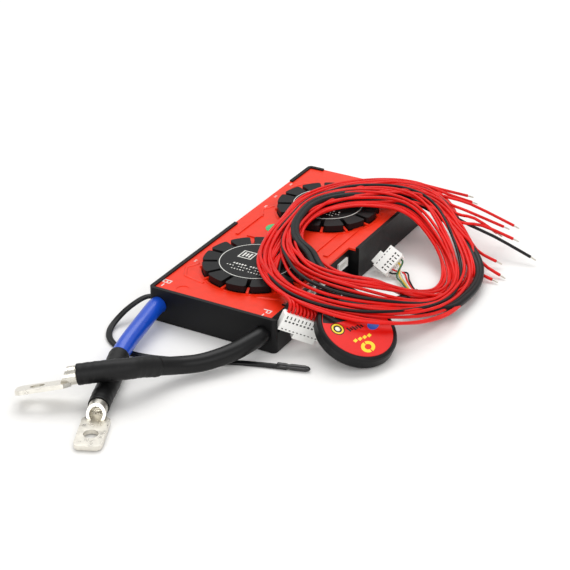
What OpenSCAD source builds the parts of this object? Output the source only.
// Battery management board in a plastic tray with an embossed metal top plate,
// two petal covers, power cables, sensor lead, cell harness and wireless module.
// Origin: middle of the underside. X across, Y from the cable end to the back, Z up.

/* [Case] */
// Width of the tray
case_w = 90; // [84:1:104]
// Length of the tray
case_l = 208; // [200:1:230]
// Height of the tray from the underside to the rim
case_h = 23; // [21:0.5:28]
// Thickness of the tray walls
wall = 2.5; // [2:0.1:3]
// Thickness of the tray floor
floor_t = 2; // [1.5:0.1:3]
// Radius of the tray's upright corners
corner_r = 3; // [1:0.5:5]
// Small general clearance between pieces that meet
fit = 0.1; // [0.05:0.05:0.2]

/* [Side channel] */
// Depth of the socket channel in the right side
channel_d = 7.5; // [6:0.5:9]
// Length of the socket channel
channel_l = 88; // [80:1:92]
// Distance from the front face to the start of the channel
channel_start = 21; // [18:1:24]
// Height of the low corner block in front of the channel
block_h = 14; // [10:0.5:16]
// Depth of the step above the corner block
notch_d = 4; // [3:0.1:4]

/* [Top plate] */
// Sheet thickness of the top plate
plate_t = 1.5; // [1:0.1:2]
// Drop from the tray's rim to the top of the plate
plate_drop = 1; // [0.5:0.1:1.5]
// Height of the embossed field and beads
emboss_h = 0.8; // [0.4:0.1:1.2]
// Width of a long bead
bead_w = 3.4; // [2:0.1:5]

/* [Petal covers] */
// Outside radius of a petal cover
disc_r = 34; // [30:0.5:36]
// Radius of the solid middle of a petal cover
disc_hub_r = 24.5; // [20:0.5:27]
// Height of a petal cover above the plate
disc_rise = 5; // [3:0.5:7]
// Number of petals on a cover
petals = 13; // [9:1:17]
// Width of the gap between two petals
petal_gap = 2.6; // [1.5:0.1:3.5]
// Distance between the middles of the two covers
disc_pitch = 96; // [90:1:102]
// Shift of both covers from the middle of the tray
disc_shift = -1; // [-3:0.5:3]

/* [Power cables] */
// Outside diameter of a power cable
cable_d = 11; // [9:0.5:12]
// Distance of the negative cell cable from the middle of the tray
cable_b_x = 38; // [30:0.5:38]
// Distance of the negative load cable from the middle of the tray
cable_p_x = 36; // [28:0.5:36]
// Height of the power cables where they leave the tray
cable_z = 12; // [11:0.5:13]
// Diameter of the copper strands
strand_d = 7; // [5:0.5:8]
// Wall of the shrink sleeve on a cable end
sleeve_t = 0.8; // [0.5:0.1:1.2]
// Width of a lug's palm
lug_w = 16; // [14:0.5:20]
// Thickness of a lug's palm
lug_t = 2.6; // [2:0.1:3.5]
// Diameter of the bolt hole in a lug
lug_hole_d = 8.4; // [6.4:0.1:8.6]

/* [Board] */
// Thickness of the circuit board
board_t = 1.6; // [1:0.1:2]
// Height of the board's underside above the tray floor
board_z = 7; // [6:0.5:8]
// Number of switching transistors in one row
fets = 12; // [8:1:14]
// Pitch of the switching transistors
fet_pitch = 11.5; // [10.8:0.1:12]

/* [Connectors] */
// Pitch of the cell harness contacts
pin_pitch = 2.5; // [2:0.1:2.5]
// Number of cell harness contacts
cells = 10; // [8:1:10]
// Number of wireless module contacts
module_pins = 6; // [4:1:6]
// Length of a plug housing along its wires
plug_h = 11.5; // [9:0.5:12]
// Thickness of a plug housing
plug_t = 5.8; // [5:0.1:6.4]

/* [Wireless module] */
// Radius of the wireless module
puck_r = 25.3; // [24.5:0.1:26]
// Thickness of the wireless module
puck_t = 9.5; // [8:0.1:9.6]
// Radius of the label on the wireless module
puck_label_r = 22.3; // [18:0.1:23]
// Tilt of the module where it leans
puck_tilt = 25; // [25:0.5:27]

/* [Leads] */
// Width of the flat two-core sensor lead
ntc_w = 4; // [3:0.1:4.2]
// Thickness of the flat two-core sensor lead
ntc_t = 2.2; // [1.6:0.1:2.2]
// Diameter of one harness wire
wire_d = 1.9; // [1.4:0.1:2]
// Diameter of the wireless module's cable
module_cable_d = 4.4; // [3.5:0.1:5]

/* [Hidden] */
$fn = 48;
eps = 0.01;
half_w = case_w / 2;
half_l = case_l / 2;
plate_top = case_h - plate_drop;
plate_under = plate_top - plate_t;
channel_x = half_w - channel_d;
channel_y0 = -half_l + channel_start;
channel_y1 = channel_y0 + channel_l;
inner_x = channel_x - wall;
board_under = floor_t + board_z;
board_top = board_under + board_t;
board_x0 = -half_w + wall + 1;
board_x1 = inner_x - 1;
board_y0 = -half_l + wall + 26;
board_y1 = half_l - wall - 4;
disc_top = plate_top + disc_rise;
disc_ys = [disc_shift - disc_pitch / 2, disc_shift + disc_pitch / 2];
rim_notch_left = [0, 75];
rim_notch_back = [-33, 15];
pocket_r = disc_r + 0.6;
screw_d = 3;
sleeve_d = cable_d + 2 * sleeve_t;
flange_t = 1.2;
notch_x = half_w - notch_d;
fet_size = [10.2, 9, 4.5];
fet_rows = [-30, 24];
fet_middle = 9;
bar_w = 13;
bar_over = 5;
pad_t = 0.7;
bar_top = plate_under - fit - flange_t - pad_t - fit;
bar_z = board_top + fet_size[2];

// Tray: rounded bottom edge, wall beside the step, screw posts and heads.
edge_r = 1;
notch_wall = 1.4;
cavity_x1 = notch_x - notch_wall;
post_d = 7;
post_in = 5;
screw_head_d = 5.6;
screw_head_h = 1.6;
screw_places = [[-16, -half_l + 14], [14, -half_l + 14],
                [-half_w + wall + post_in, half_l - wall - post_in],
                [inner_x - post_in, half_l - wall - post_in],
                [-half_w + wall + post_in, 0], [inner_x - post_in, channel_y1 + 6]];

// Plate: embossed field, beads beside the covers, ring lips, dent and sticker.
rim = 2.6;
field_at = [-28, -13];
field_size = [51, 36];
bead_x = 30.5;
bead_y = -14;
bead_l = 50;
rib_x = -36;
rib_w = 2;
rib_l = 34;
lip_w = 1.6;
tongue_rise = 0.6;
dent_at = [-25.7, 9.2];
dent_r = 4;
dent_depth = 0.3;
sticker_at = [-17, 4.5];
sticker_d = 12;
sticker_t = 0.2;

// Petal covers: petals, hollow hub, groove round the middle, flange under the plate.
petal_step = 360 / petals;
petal_corner = 1.6;
petal_t = 4.2;
hub_wall = 3;
hub_top = 2;
groove_w = 0.6;
groove_depth = 0.5;
flange_w = 1.6;

// Side sockets: start along Y and length of each, and the pins in them.
socket_h = 5.8;
socket_skin = 0.9;
socket_in = 3.4;
socket_side = 1.2;
spare_pins = 4;
socket_counts = [cells, module_pins, spare_pins];
socket_len = [for (n = socket_counts) n * pin_pitch + 2 * socket_side];
first_socket = channel_y0 + 14;
last_socket = channel_y1 - 3 - socket_len[2];
socket_gap = (last_socket - first_socket - socket_len[0] - socket_len[1]) / 2;
side_sockets = [[first_socket, socket_len[0]],
                [first_socket + socket_len[0] + socket_gap, socket_len[1]],
                [last_socket, socket_len[2]]];
pin_t = 0.64;

// Cable end of the board: terminals, then the shunts, the balance resistors and a chip.
terminal_w = 12;
terminal_l = 14;
terminal_h = 11;
terminal_y = board_y0 - 16;
terminal_foot_l = 8;
terminal_foot_t = 2.2;
terminal_b_x = max(-cable_b_x + 2, board_x0 + terminal_w / 2);
terminal_p_x = min(cable_p_x - 4, board_x1 - terminal_w / 2);
shunt_size = [2, 12, 3.4];
shunt_pitch = 3.6;
shunt_y = board_y0 + 3;
resistor_size = [3.2, 1.6, 0.8];
resistor_pitch = [4, 3.2];
resistor_at = [-6, shunt_y + shunt_size[1] + 2.5];
resistor_y1 = resistor_at[1] + cells * resistor_pitch[1] + resistor_size[1];
// Chips: place and size of each.
chips = [[[-6, board_y1 - 34], [10, 10, 1.4]], [[-8, board_y1 - 54], [14, 8, 1.6]],
         [[-4, 8], [6, 8, 1.5]], [[-4, resistor_y1 + 8.4], [6, 5, 1.5]]];
capacitor_d = 6.3;
capacitor_h = 7.6;
capacitor_pitch = 7;
capacitor_y = board_y1 - 8;

// Transistors stand where the terminals' feet and the capacitors leave room.
fet_room = [board_y0 + terminal_foot_l - 2 + 0.5, capacitor_y - capacitor_d];
fet_ys = [for (i = [0:fets - 1])
    let (y = disc_shift + (i - (fets - 1) / 2) * fet_pitch)
    if (abs(y) > fet_middle && y - fet_size[1] / 2 > fet_room[0]
        && y + fet_size[1] / 2 < fet_room[1]) y];
bar_y0 = fet_ys[0] - bar_over;
bar_l = fet_ys[len(fet_ys) - 1] - fet_ys[0] + 2 * bar_over;

// Route points of the cords, in millimetres, chosen by hand.
// Power cables and sensor lead: from the point where each leaves the tray.
route_b = [[0, 2, 0], [0, -4, 0], [1.5, -14, -0.6], [3.7, -27.5, -1.5], [5.8, -42, -3],
           [8.7, -55.6, -4.8], [13.5, -68, -5.4], [19.1, -79.4, -5.5], [25.7, -97.9, -5.5],
           [29.5, -107, -5.5]];
route_p = [[0, 2, 0], [0, -4, 0], [-2, -11, -0.8], [-6, -21, -2.4], [-12, -31.5, -3.6],
           [-19, -41.5, -4], [-27, -52, -2.4], [-33, -63.5, 1.2], [-37.5, -73.5, 4.8],
           [-41, -81.5, 6.8], [-49, -89, 7.2], [-57, -94.5, 6.4], [-64, -99, 5.4]];
route_ntc = [[2.3, 0, 0], [-1, 0, 0], [-4.5, -2, -0.4], [-7.5, -6.5, -1.8], [-11, -14, -5],
             [-13, -22, -8.6], [-12.6, -30, -11], [-9, -37, -11.7], [-3, -42.5, -11.8],
             [5, -46, -11.8], [14, -48, -11.8], [26, -46.5, -11.8], [41, -41.5, -11.8],
             [53, -36, -11.8], [64, -31.5, -11.8], [78, -25.5, -11.8], [92, -20.5, -11.8],
             [104, -17, -11.7]];
// Route point where each shrink sleeve starts.
sleeve_from_b = 5;
sleeve_from_p = 7;
// Lugs: start, heading and roll of each, then the sizes that both share.
lug_b_pos = [-cable_b_x, -half_l, cable_z] + route_b[len(route_b) - 1];
lug_p_pos = [cable_p_x, -half_l, cable_z] + route_p[len(route_p) - 1];
lug_b_rot = [0, 0, -66];
lug_p_rot = [21, 8, -147];
barrel_l = 9;
barrel_t = 1.6;
palm_from = 4;
palm_l = 27;
hole_from_end = 12.5;
ntc_exit = [-half_w, -half_l + 6, 13];
// Bundle stretches that lead into and out of the coil.
route_lead = [[0.05, 0.05, 0.15], [0.9, 0.9, 2.8], [0.2, 3.4, 5.2], [-2.4, 7.6, 7.2],
              [-6, 12.8, 9]];
route_puck_lead = [[0.06, 0.19, 0], [0.9, 3, 0.4], [1.2, 5.5, 2.6], [1, 7.5, 6.4]];
route_plug_lead = [[0.3, 0, 0], [2.6, -0.8, -0.8], [6, -3, -2.8], [11, -8, -4.4],
                   [18, -15, -4.8], [26, -21, -4.6], [33, -25, -3.4]];
// Wire tails: place on the coil as the angle round it and the angle round its section,
// then the middle and the bare end of each.
tails = [[100, 20, [56, 103, 28], [73, 114, 22]],
         [92, 10, [64, 101, 26.5], [78, 110, 20]],
         [76, 20, [84, 88, 24], [108, 95, 15]],
         [82, 20, [82, 98, 24.5], [114, 98, 16]],
         [64, 10, [98, 82, 19], [119, 85, 13]],
         [70, 10, [92, 82, 23], [107, 86, 14]],
         [46, 20, [110, 64, 14], [119, 56, 8]],
         [38, 10, [116, 54, 9.5], [126, 46, 4]],
         [30, 0, [117, 46, 6], [123, 40, 3]],
         [56, 10, [108, 76, 16], [134, 72, 9]]];
tip_l = 4;

// Coil of the harness and the module's cable: a flat ring that rests on the covers
// and the module and droops past the tray's right side to the floor.
// Rows every 30 degrees: inner radius, outer radius, height of the middle above the floor.
coil_c = [50, 8];
coil_hh = 4;
coil_rest = disc_top + 0.3 + coil_hh;
coil_rows = [[46, 72, 5.2], [50, 74, 6.4], [47, 75, 20], [47, 90, coil_rest - 1],
             [42, 87, coil_rest + 0.3], [36, 78, coil_rest], [34, 72, coil_rest],
             [34, 73, coil_rest], [34, 79, coil_rest], [36, 85, coil_rest + 1],
             [38, 86, 31], [42, 77, 16]];
coil_steps = 40;
coil_sides = 10;

// Harness plug and module plug poses.
plug_pos = [half_w - 0.1, -half_l + 2.7, block_h + 2.5];
plug_rot = [0, 25, 40];
module_plug_pos = [56.3, 28.6, 18];
module_plug_rot = [-109, 38.3, -119.5];
plug_end = 2.45;
plug_body_h = plug_h - 3.4;

// Wireless module pose: middle of its label.
puck_pos = [87, -79, puck_t * cos(puck_tilt) + (puck_r - 1) * sin(puck_tilt) - 0.3];
puck_az = -17;
puck_skin = 1.6;
puck_seam = puck_t * 0.75;
puck_exit_z = -4.4;
relief_d = 4.5;
relief_l = 5;
lens_at = [-12, -12];
lens_d = 5;
module_board_t = 1.2;

// ---------- helpers ----------
function unit(v) = v / norm(v);
function spline(p, i, t) =
    let (n = len(p) - 1,
         a = p[max(0, i - 1)], b = p[i], c = p[min(n, i + 1)], d = p[min(n, i + 2)])
    0.5 * (2 * b + (c - a) * t + (2 * a - 5 * b + 4 * c - d) * t * t
           + (3 * b - a - 3 * c + d) * t * t * t);
function smooth_path(p, k) =
    concat([for (i = [0:len(p) - 2]) for (j = [0:k - 1]) spline(p, i, j / k)], [p[len(p) - 1]]);
function tangent(p, i) = unit(p[min(i + 1, len(p) - 1)] - p[max(i - 1, 0)]);
function side_of(t, up) = unit(cross(t, up));

// Closed tube of oval section along the points p, from point i0 to point i1.
// Its width runs from w to w_end and its thickness from h to h_end.
module tube(p, w, h, sides = 8, up = [0, 0, 1], i0 = 0, i1 = undef,
            w_end = undef, h_end = undef) {
    i2 = is_undef(i1) ? len(p) - 1 : i1;
    n = i2 - i0 + 1;
    w2 = is_undef(w_end) ? w : w_end;
    h2 = is_undef(h_end) ? h : h_end;
    ring = [for (i = [i0:i2])
        let (t = tangent(p, i), s = side_of(t, up), u = cross(s, t), f = (i - i0) / (n - 1),
             rw = (w + (w2 - w) * f) / 2, rh = (h + (h2 - h) * f) / 2)
        for (k = [0:sides - 1])
            let (a = 360 * k / sides) p[i] + s * (cos(a) * rw) + u * (sin(a) * rh)];
    walls = [for (i = [0:n - 2]) for (k = [0:sides - 1])
        let (k2 = (k + 1) % sides)
        [i * sides + k, i * sides + k2, (i + 1) * sides + k2, (i + 1) * sides + k]];
    first = [for (k = [sides - 1:-1:0]) k];
    last = [for (k = [0:sides - 1]) (n - 1) * sides + k];
    polyhedron(points = ring, faces = concat(walls, [first], [last]), convexity = 6);
}

// Rounded box footprint.
module round_rect(w, l, r) {
    union() {
        square([w - 2 * r, l], center = true);
        square([w, l - 2 * r], center = true);
        for (x = [-1, 1]) for (y = [-1, 1])
            translate([x * (w / 2 - r), y * (l / 2 - r)]) circle(r);
    }
}

// ---------- case ----------
// Posts that carry the screws.
module tray_corner_posts() {
    for (p = screw_places) translate([p[0], p[1], floor_t - eps])
        cylinder(d = post_d, h = plate_under - floor_t + eps);
}

// Outer block of the tray with its bottom edge rounded in steps.
module tray_block() {
    for (a = [0:15:75]) let (inset = edge_r * (1 - sin(a)))
        translate([0, 0, edge_r * (1 - cos(a))])
            linear_extrude(edge_r * 1.2)
                round_rect(case_w - 2 * inset, case_l - 2 * inset, corner_r - inset * 0.5);
    translate([0, 0, edge_r]) linear_extrude(case_h - edge_r)
        round_rect(case_w, case_l, corner_r);
}
// Tray with its channel, step, cable holes, socket openings and screw holes.
module case_tray() {
    color("#1c1d1e")
    difference() {
        union() {
            difference() {
                tray_block();
                // main cavity, left of the channel wall
                translate([-half_w + wall, -half_l + wall, floor_t])
                    cube([case_w - wall - channel_d - wall, case_l - 2 * wall, case_h]);
                // cavity behind the channel reaches the right wall
                translate([inner_x - eps, channel_y1 + wall, floor_t])
                    cube([half_w - wall - inner_x, half_l - wall - channel_y1 - wall, case_h]);
                // socket channel, open to the side and the top
                translate([channel_x, channel_y0, floor_t + 1])
                    cube([channel_d + 1, channel_l, case_h]);
                // step over the low corner block
                translate([notch_x, -half_l + wall, block_h])
                    cube([notch_d + 1, channel_start - wall + eps, case_h]);
                // cavity beside the corner block, where the load cable comes in
                translate([inner_x - eps, -half_l + wall, floor_t])
                    cube([cavity_x1 - inner_x, channel_start - 2 * wall, case_h]);
                // seat for the plate round the inside of the rim
                translate([0, 0, plate_under]) linear_extrude(case_h) plate_outline(fit);
            }
            tray_corner_posts();
        }
        // power cable holes
        for (x = [-cable_b_x, cable_p_x]) translate([x, -half_l - 1, cable_z])
            rotate([-90, 0, 0]) cylinder(d = cable_d + 2 * fit, h = wall + 2);
        // sensor lead slot in the left side
        translate([-half_w - 1, ntc_exit[1] - ntc_w / 2 - fit, ntc_exit[2] - ntc_t / 2 - fit])
            cube([wall + 2, ntc_w + 2 * fit, ntc_t + 2 * fit]);
        // openings for the sockets through the channel wall
        for (s = side_sockets)
            translate([inner_x - 1, s[0] - fit, board_top - fit])
                cube([wall + 2, s[1] + 2 * fit, socket_h + 2 * fit]);
        // screw holes from the underside
        for (p = screw_places) translate([p[0], p[1], -1]) {
            cylinder(d = screw_d + 2 * fit, h = case_h + 2);
            cylinder(d = screw_head_d + 0.6, h = 1 + screw_head_h);
        }
    }
}

// ---------- top plate ----------
// Outline of the plate; the two notches in the rim let it reach the tray's outside.
module plate_outline(grow = 0) {
    x0 = -half_w + rim - grow;
    x1 = half_w - rim + grow;
    y0 = -half_l + rim - grow;
    y1 = half_l - rim + grow;
    polygon([[x0, y0], [notch_x - 0.4 + grow, y0], [notch_x - 0.4 + grow, channel_y0 - 0.4 + grow],
             [channel_x + grow, channel_y0 - 0.4 + grow], [channel_x + grow, channel_y1 - grow],
             [x1, channel_y1 - grow], [x1, y1], [rim_notch_back[1] + grow, y1],
             [rim_notch_back[1] + grow, half_l + grow * 10],
             [rim_notch_back[0] - grow, half_l + grow * 10], [rim_notch_back[0] - grow, y1],
             [x0, y1], [x0, rim_notch_left[1] + grow],
             [-half_w - grow * 10, rim_notch_left[1] + grow],
             [-half_w - grow * 10, rim_notch_left[0] - grow], [x0, rim_notch_left[0] - grow]]);
}

// Tongues of the plate that stand between the petals.
module tongues(y) {
    for (i = [0:petals - 1]) rotate(360 / petals * (i + 0.5))
        translate([disc_hub_r + 4, -(petal_gap - 1) / 2])
            square([pocket_r - disc_hub_r - 3, petal_gap - 1]);
}

// Raised field between the two covers.
module embossed_field() {
    difference() {
        translate(field_at) square(field_size);
        for (y = disc_ys) translate([0, y]) circle(pocket_r + 2.5);
    }
}

// Sheet plate with its openings, tongues, beads, ring lips and dent.
module top_plate() {
    color("#e8402a")
    difference() {
        union() {
            difference() {
                translate([0, 0, plate_under]) linear_extrude(plate_t) plate_outline();
                for (y = disc_ys) translate([0, y, plate_under - 1])
                    cylinder(r = pocket_r, h = plate_t + 2, $fn = 96);
            }
            for (y = disc_ys) translate([0, y, plate_under])
                linear_extrude(plate_t + emboss_h + tongue_rise) tongues(y);
            translate([0, 0, plate_top - eps]) linear_extrude(emboss_h) embossed_field();
            // long beads beside the covers
            translate([bead_x - bead_w / 2, bead_y, plate_top - eps])
                cube([bead_w, bead_l, emboss_h]);
            translate([rib_x, bead_y, plate_top - eps]) cube([rib_w, rib_l, emboss_h]);
            // ring lips round the two openings
            for (y = disc_ys) translate([0, y, plate_top - eps])
                difference() {
                    cylinder(r = pocket_r + lip_w, h = emboss_h / 2, $fn = 96);
                    translate([0, 0, -1]) cylinder(r = pocket_r, h = 3, $fn = 96);
                }
        }
        // small half-round dent near the cable end
        translate([dent_at[0], -half_l + dent_at[1], plate_top - dent_depth])
            cylinder(r = dent_r, h = 1);
    }
}

// ---------- petal covers ----------
// One petal as a flat outline with rounded outer corners.
module petal_2d() {
    half = petal_step / 2;
    r_in = disc_hub_r - 1;
    r_c = disc_r - petal_corner;
    off = petal_gap / 2 + petal_corner;
    a_c = half - asin(off / r_c);
    a_edge = half - asin((petal_gap / 2) / r_in);
    corner = [for (a = [90:-15:0]) let (t = a_c)
        [r_c * cos(t), r_c * sin(t)] + petal_corner * [cos(half + a), sin(half + a)]];
    side = concat([[r_in * cos(a_edge), r_in * sin(a_edge)]], corner,
                  [for (a = [a_c * 0.7, a_c * 0.35]) disc_r * [cos(a), sin(a)]]);
    other = [for (i = [len(side) - 1:-1:0]) [side[i][0], -side[i][1]]];
    polygon(concat(side, [[disc_r, 0]], other));
}

// Cover with its petals, hollow hub, groove and the flange under the plate.
module petal_cover(y) {
    translate([0, y, 0]) {
        difference() {
            union() {
                // hub with a shallow dished middle
                translate([0, 0, plate_under])
                    cylinder(r = disc_hub_r, h = disc_top - plate_under, $fn = 96);
                // petals
                for (i = [0:petals - 1]) rotate(petal_step * i)
                    translate([0, 0, disc_top - petal_t]) linear_extrude(petal_t) petal_2d();
            }
            // groove round the printed middle
            translate([0, 0, disc_top - groove_depth]) difference() {
                cylinder(r = disc_hub_r - groove_w, h = 1, $fn = 96);
                translate([0, 0, -1]) cylinder(r = disc_hub_r - 2 * groove_w, h = 3, $fn = 96);
            }
            // hollow underside
            translate([0, 0, plate_under - 1])
                cylinder(r = disc_hub_r - hub_wall, h = disc_top - plate_under + 1 - hub_top,
                         $fn = 96);
        }
        // flange under the plate that keeps the cover in its opening
        translate([0, 0, plate_under - fit - flange_t]) difference() {
            cylinder(r = pocket_r + flange_w, h = flange_t, $fn = 96);
            translate([0, 0, -1]) cylinder(r = disc_hub_r - hub_wall, h = flange_t + 2, $fn = 96);
            // flat beside the channel wall
            translate([inner_x - fit, -disc_r, -1]) cube([disc_r, 2 * disc_r, flange_t + 2]);
        }
        // hub wall carried down to the flange
        translate([0, 0, plate_under - fit - eps]) difference() {
            cylinder(r = disc_hub_r, h = 2 * fit, $fn = 96);
            translate([0, 0, -1]) cylinder(r = disc_hub_r - hub_wall, h = 3, $fn = 96);
        }
    }
}
module front_petal_cover() { color("#26282a") petal_cover(disc_ys[0]); }
module rear_petal_cover() { color("#26282a") petal_cover(disc_ys[1]); }

// Green sticker on the embossed field.
module round_sticker() {
    color("#2fbf71") translate([sticker_at[0], sticker_at[1], plate_top + emboss_h - eps])
        cylinder(d = sticker_d, h = sticker_t);
}

// Countersunk cross-head screws from the underside.
module plate_screws() {
    color("#9a9da0") for (p = screw_places) translate([p[0], p[1], 0]) {
        translate([0, 0, fit]) difference() {
            cylinder(d = screw_head_d, h = screw_head_h - fit);
            for (a = [0, 90]) rotate(a) translate([-1.5, -0.3, -1]) cube([3, 0.6, 1.8]);
        }
        translate([0, 0, screw_head_h - eps]) cylinder(d = screw_d, h = plate_under - screw_head_h);
    }
}

// ---------- board and what it carries ----------
// One row of contact pins, each a square rod along X.
module pin_row(k, t, x0, length) {
    for (i = [0:socket_counts[k] - 1])
        translate([x0, side_sockets[k][0] + socket_side + pin_pitch * (i + 0.5) - t / 2,
                   board_top + socket_h / 2 - t / 2]) cube([length, t, t]);
}

// Circuit board, cut out round the screw posts.
module main_board() {
    color("#1f6b3a")
    difference() {
        translate([board_x0, board_y0, board_under])
            cube([board_x1 - board_x0, board_y1 - board_y0, board_t]);
        for (p = screw_places) translate([p[0], p[1], board_under - 1])
            cylinder(d = post_d + 4 * fit, h = board_t + 2);
    }
}

// One row of switching transistors with their tabs and leads.
module transistor_row(x) {
    for (y = fet_ys)
        translate([x - fet_size[0] / 2, y - fet_size[1] / 2, board_top]) {
            cube(fet_size);
            // tab and leads
            translate([fet_size[0] - eps, 0.6, 0]) cube([1.6, fet_size[1] - 1.2, 1.3]);
            for (k = [0:2]) translate([-1.8, 1.2 + k * 2.54, 0]) cube([1.8 + eps, 1, 0.8]);
        }
}
module left_transistors() { color("#2b2b2d") transistor_row(fet_rows[0] + 6); }
module right_transistors() { color("#2b2b2d") transistor_row(fet_rows[1] - 6); }

// Bar that carries the heat of one row up to the plate.
module heat_bar(x) {
    translate([x - bar_w / 2, bar_y0, bar_z]) cube([bar_w, bar_l, bar_top - bar_z]);
}
module left_heat_bar() { color("#c9ccd0") heat_bar(fet_rows[0] + 6); }
module right_heat_bar() { color("#c9ccd0") heat_bar(fet_rows[1] - 6); }

// Soft pads between the bars and the plate.
module heat_pads() {
    color("#8fb7d6") difference() {
        for (x = [fet_rows[0] + 6, fet_rows[1] - 6])
            translate([x - bar_w / 2, bar_y0, bar_top])
                cube([bar_w, bar_l, plate_under - bar_top]);
        // thinner where the covers' flanges and hollow hubs are
        for (y = disc_ys) translate([0, y, bar_top + pad_t])
            cylinder(r = pocket_r + flange_w + 2 * fit, h = 4, $fn = 96);
    }
}

// Row of six bridge-shaped shunts.
module current_shunts() {
    color("#b87333") for (i = [0:5]) translate([-11 + i * shunt_pitch, shunt_y, board_top])
        difference() {
            cube(shunt_size);
            translate([-1, 2.5, -1]) cube([shunt_size[0] + 2, shunt_size[1] - 5, shunt_size[2] - 0.2]);
        }
}

// Copper block with a bore for the strands and a foot on the board.
module terminal(x) {
    difference() {
        translate([x - terminal_w / 2, terminal_y, cable_z - terminal_h / 2])
            cube([terminal_w, terminal_l, terminal_h]);
        translate([x, terminal_y - 1, cable_z]) rotate([-90, 0, 0]) {
            cylinder(d = strand_d, h = terminal_l + 2);
            // flared mouth
            cylinder(d = strand_d + 2.6, h = 5);
        }
    }
    // foot on the board
    translate([x - terminal_w / 2, terminal_y + terminal_l - eps, board_top])
        cube([terminal_w, terminal_foot_l, terminal_foot_t]);
}
module terminal_b() { color("#c77b3b") terminal(terminal_b_x); }
module terminal_p() { color("#c77b3b") terminal(terminal_p_x); }

// Bare copper from the cable's inner end into a terminal's bore, inside the tray's cavity.
module strand(x, x_end) {
    x0 = max(-half_w + wall + strand_d / 2, min(x, cavity_x1 - strand_d / 2));
    p = [[x0, -half_l + 2.2, cable_z], [x0, -half_l + wall + 0.5, cable_z],
         [x0, -half_l + wall + 2, cable_z], [x_end, terminal_y + 0.5, cable_z],
         [x_end, terminal_y + 3, cable_z], [x_end, terminal_y + terminal_l - 2, cable_z]];
    tube(p, strand_d - 6 * fit, strand_d - 6 * fit, 10);
}
module strand_b() { color("#d08a4c") strand(-cable_b_x, terminal_b_x); }
module strand_p() { color("#d08a4c") strand(cable_p_x, terminal_p_x); }

// Four round capacitors on square feet at the back of the board.
module capacitors() {
    foot = capacitor_d + 0.3;
    color("#2a3f8f") for (i = [0:3])
        translate([-10 + i * capacitor_pitch, capacitor_y, board_top]) {
            cylinder(d = capacitor_d, h = capacitor_h);
            translate([-foot / 2, -foot / 2, 0]) cube([foot, foot, 1.2]);
        }
}

module control_chips() {
    color("#202124") for (c = chips) translate([c[0][0], c[0][1], board_top]) cube(c[1]);
}

// Two resistors for each cell and one pair more.
module balance_resistors() {
    color("#303234") for (i = [0:cells]) for (k = [0, 1])
        translate([resistor_at[0] + k * resistor_pitch[0], resistor_at[1] + i * resistor_pitch[1],
                   board_top]) cube(resistor_size);
}

// White right-angle socket whose mouth faces the channel.
module side_socket(k) {
    s = side_sockets[k];
    difference() {
        translate([inner_x - socket_in, s[0], board_top])
            cube([wall + socket_in + 1.2, s[1], socket_h]);
        translate([inner_x - socket_in + wall, s[0] + socket_skin, board_top + socket_skin])
            cube([wall + 4, s[1] - 2 * socket_skin, socket_h - 2 * socket_skin]);
        pin_row(k, pin_t + 0.06, inner_x - 5, wall + 2.6);
    }
}
module balance_socket() { color("#f2f0e8") side_socket(0); }
module module_socket() { color("#f2f0e8") side_socket(1); }
module spare_socket() { color("#f2f0e8") side_socket(2); }

// Small socket for the sensor lead, inside the tray.
module sensor_socket() {
    color("#f2f0e8") translate([board_x0 + 1, board_y0 + 14, board_top]) difference() {
        cube([7, 6, 5]);
        translate([0.8, -1, 0.8]) cube([5.4, 5, 3.4]);
    }
}

module socket_pins() {
    color("#d9b65b") for (k = [0:2]) pin_row(k, pin_t, inner_x - socket_in + 0.4, wall + 2.2);
}

// ---------- power cables ----------
module cable_b() {
    color("#2f55cf") translate([-cable_b_x, -half_l, cable_z])
        tube(smooth_path(route_b, 2), cable_d, cable_d, 12, i1 = 2 * sleeve_from_b);
}
module cable_p() {
    color("#222325") translate([cable_p_x, -half_l, cable_z])
        tube(smooth_path(route_p, 2), cable_d, cable_d, 12, i1 = 2 * sleeve_from_p);
}

// Shrink sleeve round the last stretch of a cable, closed at the lug's barrel.
module sleeve(route, from) {
    tube(smooth_path(route, 2), sleeve_d, sleeve_d, 12, i0 = 2 * from);
}

// Cable lug: round barrel, bevelled mouth, flat palm with the bolt hole.
module lug_barrel() {
    difference() {
        translate([0.5, 0, 0]) rotate([0, 90, 0]) difference() {
            cylinder(d = cable_d, h = barrel_l);
            translate([0, 0, -1]) cylinder(d = cable_d - 2 * barrel_t, h = barrel_l + 2);
        }
        // bevel that opens the barrel over the palm
        translate([barrel_l - 4, -cable_d, cable_d / 2]) rotate([0, 60, 0])
            cube([(cable_d - lug_t) / sin(60), cable_d * 2, cable_d]);
    }
}

// Whole lug, turned to its cable's end.
module lug(pos, rot) {
    translate(pos) rotate(rot) difference() {
        union() {
            lug_barrel();
            translate([palm_from, 0, -cable_d / 2]) linear_extrude(lug_t) palm_2d();
        }
        // bolt hole
        translate([palm_l + barrel_l - hole_from_end, 0, -cable_d / 2 - 1])
            cylinder(d = lug_hole_d, h = lug_t + 2);
    }
}

// Outline of the palm with its rounded end.
module palm_2d() {
    r = 4;
    length = palm_l + barrel_l - palm_from;
    w = lug_w / 2;
    polygon(concat([[0, 4], [0, -4], [4, -w]],
                   [for (a = [-90:15:0]) [length - r + r * cos(a), -w + r + r * sin(a)]],
                   [for (a = [0:15:90]) [length - r + r * cos(a), w - r + r * sin(a)]],
                   [[4, w]]));
}
module sleeve_b() {
    color("#1d1d1f") translate([-cable_b_x, -half_l, cable_z]) sleeve(route_b, sleeve_from_b);
}
module sleeve_p() {
    color("#1d1d1f") translate([cable_p_x, -half_l, cable_z]) sleeve(route_p, sleeve_from_p);
}
module lug_b() { color("#d9d7cf") lug(lug_b_pos, lug_b_rot); }
module lug_p() { color("#d9d7cf") lug(lug_p_pos, lug_p_rot); }

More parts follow.
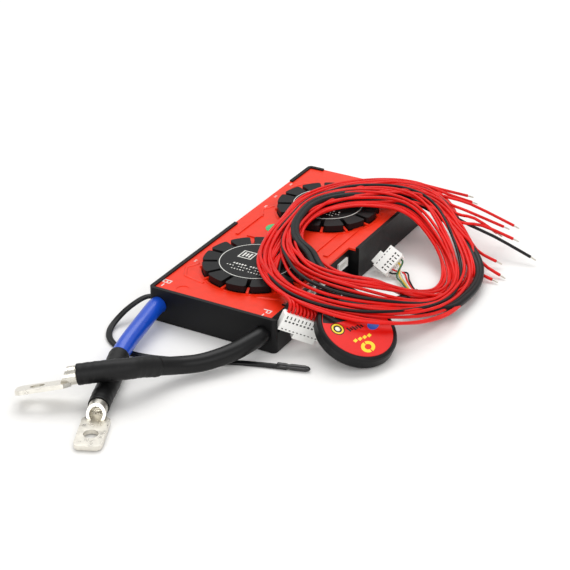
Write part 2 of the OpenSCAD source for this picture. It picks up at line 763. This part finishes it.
// ---------- sensor ----------
// Flat two-core lead and the dipped bead on its end.
module sensor_lead() {
    color("#1f2022") translate(ntc_exit)
        tube(smooth_path(route_ntc, 2), ntc_w, ntc_t, 8);
}
module sensor_probe() {
    tip = ntc_exit + route_ntc[len(route_ntc) - 1];
    color("#171819") translate([tip[0], tip[1], ntc_t / 2 + 1]) rotate([0, 90, 16.5]) {
        translate([0, 0, 0.05]) cylinder(d = 4, h = 12);
        translate([0, 0, 12]) sphere(d = 4);
    }
}

// ---------- harness ----------
// Plug housing: x along the row, windows on the -y face, wires leave at the top.
module plug_housing(n) {
    length = (n - 1) * pin_pitch + 2 * plug_end;
    difference() {
        union() {
            cube([length, plug_t, plug_h]);
            // keyed foot under the body
            translate([length * 0.4, 0.6, -3.2]) cube([length * 0.52, plug_t - 1.6, 3.2 + eps]);
        }
        // chamfered upper corners
        for (x = [0, length]) translate([x, -1, plug_h]) rotate([0, 45, 0])
            cube([1.4, 2 * plug_t + 4, 1.4], center = true);
        for (i = [0:n - 1]) translate([plug_end + i * pin_pitch, 0, 0]) {
            // wire bores
            translate([0, plug_t / 2, plug_h - 3]) cylinder(d = wire_d + 0.1, h = 4, $fn = 24);
            // lance windows and the slots below them
            translate([-0.7, -1, plug_h * 0.52]) cube([1.4, 1.8, 1.2]);
            translate([-0.4, -1, plug_h * 0.70]) cube([0.8, 1.4, 2.2]);
            translate([-0.6, -1, plug_h * 0.07]) cube([1.2, 1.6, 0.8]);
        }
    }
}
module harness_plug() {
    color("#efede6") translate(plug_pos) rotate(plug_rot) plug_housing(cells);
}
module harness_contacts() {
    color("#cfd2d4") translate(plug_pos) rotate(plug_rot)
        for (i = [0:cells - 1])
            translate([plug_end + i * pin_pitch, plug_t / 2, plug_h - 3 + fit])
                cylinder(d = wire_d - 0.2, h = 3 - 2 * fit, $fn = 24);
}

lead_cells = cells - 3;
row_mid = plug_end + (lead_cells - 1) * pin_pitch / 2;
function turn_x(v, a) = [v[0], v[1] * cos(a) - v[2] * sin(a), v[1] * sin(a) + v[2] * cos(a)];
function turn_y(v, a) = [v[0] * cos(a) + v[2] * sin(a), v[1], -v[0] * sin(a) + v[2] * cos(a)];
function turn_z(v, a) = [v[0] * cos(a) - v[1] * sin(a), v[0] * sin(a) + v[1] * cos(a), v[2]];
function turned(v, r) = turn_z(turn_y(turn_x(v, r[0]), r[1]), r[2]);
plug_mouth = plug_pos + turned([row_mid, plug_t / 2, plug_h], plug_rot);

// Flat bundle of the wires that leave the plug's middle and run up into the coil.
module harness_lead() {
    p = smooth_path([for (q = route_lead) plug_mouth + q], 3);
    color("#c8201c") tube(p, (lead_cells - 1) * pin_pitch + wire_d, wire_d + 0.6, 12,
                          up = [sin(plug_rot[2]), -cos(plug_rot[2]), 0], w_end = 13, h_end = 4);
}

function coil_row(i) = coil_rows[(i + len(coil_rows)) % len(coil_rows)];
function coil_at(a) =
    let (u = a / 30, i = floor(u), t = u - i,
         p = coil_row(i - 1), q = coil_row(i), r = coil_row(i + 1), v = coil_row(i + 2))
    0.5 * (2 * q + (r - p) * t + (2 * p - 5 * q + 4 * r - v) * t * t
           + (3 * q - p - 3 * r + v) * t * t * t);
// Point of the coil's skin at the angle a round it and the angle b round its section.
function coil_skin(a, b, grow = 0) =
    let (c = coil_at(a), mid = (c[0] + c[1]) / 2, half = (c[1] - c[0]) / 2 + grow)
    [coil_c[0] + (mid + half * cos(b)) * cos(a), coil_c[1] + (mid + half * cos(b)) * sin(a),
     c[2] + (coil_hh + grow) * sin(b)];

// Solid ring with the coil's outline.
module harness_coil() {
    n = coil_steps;
    m = coil_sides;
    points = [for (i = [0:n - 1]) for (k = [0:m - 1]) coil_skin(360 * i / n, 360 * k / m)];
    faces = [for (i = [0:n - 1]) for (k = [0:m - 1])
        let (i2 = (i + 1) % n, k2 = (k + 1) % m)
        [i * m + k, i * m + k2, i2 * m + k2, i2 * m + k]];
    color("#d0211b") polyhedron(points = points, faces = faces, convexity = 8);
}

// Ends of the harness wires beyond the coil, with their tinned tips.
module harness_tails() {
    color("#c8201c") for (t = tails)
        tube(smooth_path([coil_skin(t[0], t[1]), t[2], t[3]], 4), wire_d, wire_d, 6);
}
module tinned_tips() {
    color("#d5d3cc") for (t = tails) let (d = unit(t[3] - t[2]))
        tube([t[3] + d * 0.05, t[3] + d * tip_l], 1.1, 1.1, 6);
}

// ---------- wireless module ----------
// The module's own frame: Z out of its label, the cable's exit on +Y.
module at_puck() { translate(puck_pos) rotate([0, puck_tilt, puck_az]) children(); }

module module_base() {
    color("#1b1c1d") at_puck() rotate_extrude($fn = 72) polygon([
        [0, -puck_t], [puck_r - 2.2, -puck_t], [puck_r - 0.8, -puck_t + 1],
        [puck_r - 0.2, -puck_seam], [puck_r - 1.8, -puck_seam],
        [puck_r - 2.4, -puck_t + puck_skin], [0, -puck_t + puck_skin]]);
}
module module_ring() {
    color("#202122") at_puck() difference() {
        rotate_extrude($fn = 72) polygon([
            [0, -puck_skin], [puck_r - 2.6, -puck_skin], [puck_r - 1.8, -puck_seam + fit],
            [puck_r, -puck_seam + fit], [puck_r, -1.6], [puck_r - 0.5, -0.3],
            [puck_r - 1.4, 0.4], [puck_label_r + 0.9, 0.5], [puck_label_r + 0.3, 0.1],
            [puck_label_r + 0.1, -0.3], [0, -0.3]]);
        translate([0, puck_r, puck_exit_z]) rotate([90, 0, 0])
            cylinder(d = relief_d + fit, h = 6, center = true);
    }
}
module module_label() {
    color("#e5261c") at_puck() translate([0, 0, -0.3]) difference() {
        cylinder(r = puck_label_r, h = 0.25, $fn = 72);
        translate([lens_at[0], lens_at[1], -1]) cylinder(d = lens_d + 0.4, h = 3);
    }
}
module module_lens() {
    color("#d9c46a") at_puck() translate([lens_at[0], lens_at[1], -0.3])
        cylinder(d = lens_d, h = 0.6);
}
module module_board() {
    color("#1f6b3a") at_puck() translate([0, 0, -puck_t + puck_skin + 1])
        cylinder(r = puck_r - 5, h = module_board_t);
}
puck_exit = puck_pos
    + turned([0, puck_r - 2 + relief_l + 0.2, puck_exit_z], [0, puck_tilt, puck_az]);
module module_relief() {
    color("#1b1c1d") at_puck() translate([0, puck_r - 2, puck_exit_z]) rotate([-90, 0, 0])
        cylinder(d = relief_d, h = relief_l);
}
module module_lead() {
    color("#1d1e20") tube(smooth_path([for (q = route_puck_lead) puck_exit + q], 2),
                          module_cable_d, module_cable_d, 8);
}

module module_plug() {
    color("#efede6") translate(module_plug_pos) rotate(module_plug_rot) plug_housing(module_pins);
}
module_mouth = module_plug_pos
    + turned([plug_end + (module_pins - 1) * pin_pitch / 2, plug_t / 2, plug_h], module_plug_rot);
module module_plug_lead() {
    color("#3a3b3d") tube(smooth_path([for (q = route_plug_lead) module_mouth + q], 2),
                          module_cable_d, 3.4, 8);
}

case_tray();
top_plate();
front_petal_cover();
rear_petal_cover();
round_sticker();
plate_screws();
main_board();
left_transistors();
right_transistors();
left_heat_bar();
right_heat_bar();
heat_pads();
current_shunts();
terminal_b();
terminal_p();
strand_b();
strand_p();
capacitors();
control_chips();
balance_resistors();
balance_socket();
module_socket();
spare_socket();
sensor_socket();
socket_pins();
cable_b();
sleeve_b();
lug_b();
cable_p();
sleeve_p();
lug_p();
sensor_lead();
sensor_probe();
harness_plug();
harness_contacts();
harness_lead();
harness_coil();
harness_tails();
tinned_tips();
module_base();
module_ring();
module_label();
module_board();
module_lens();
module_relief();
module_lead();
module_plug_lead();
module_plug();
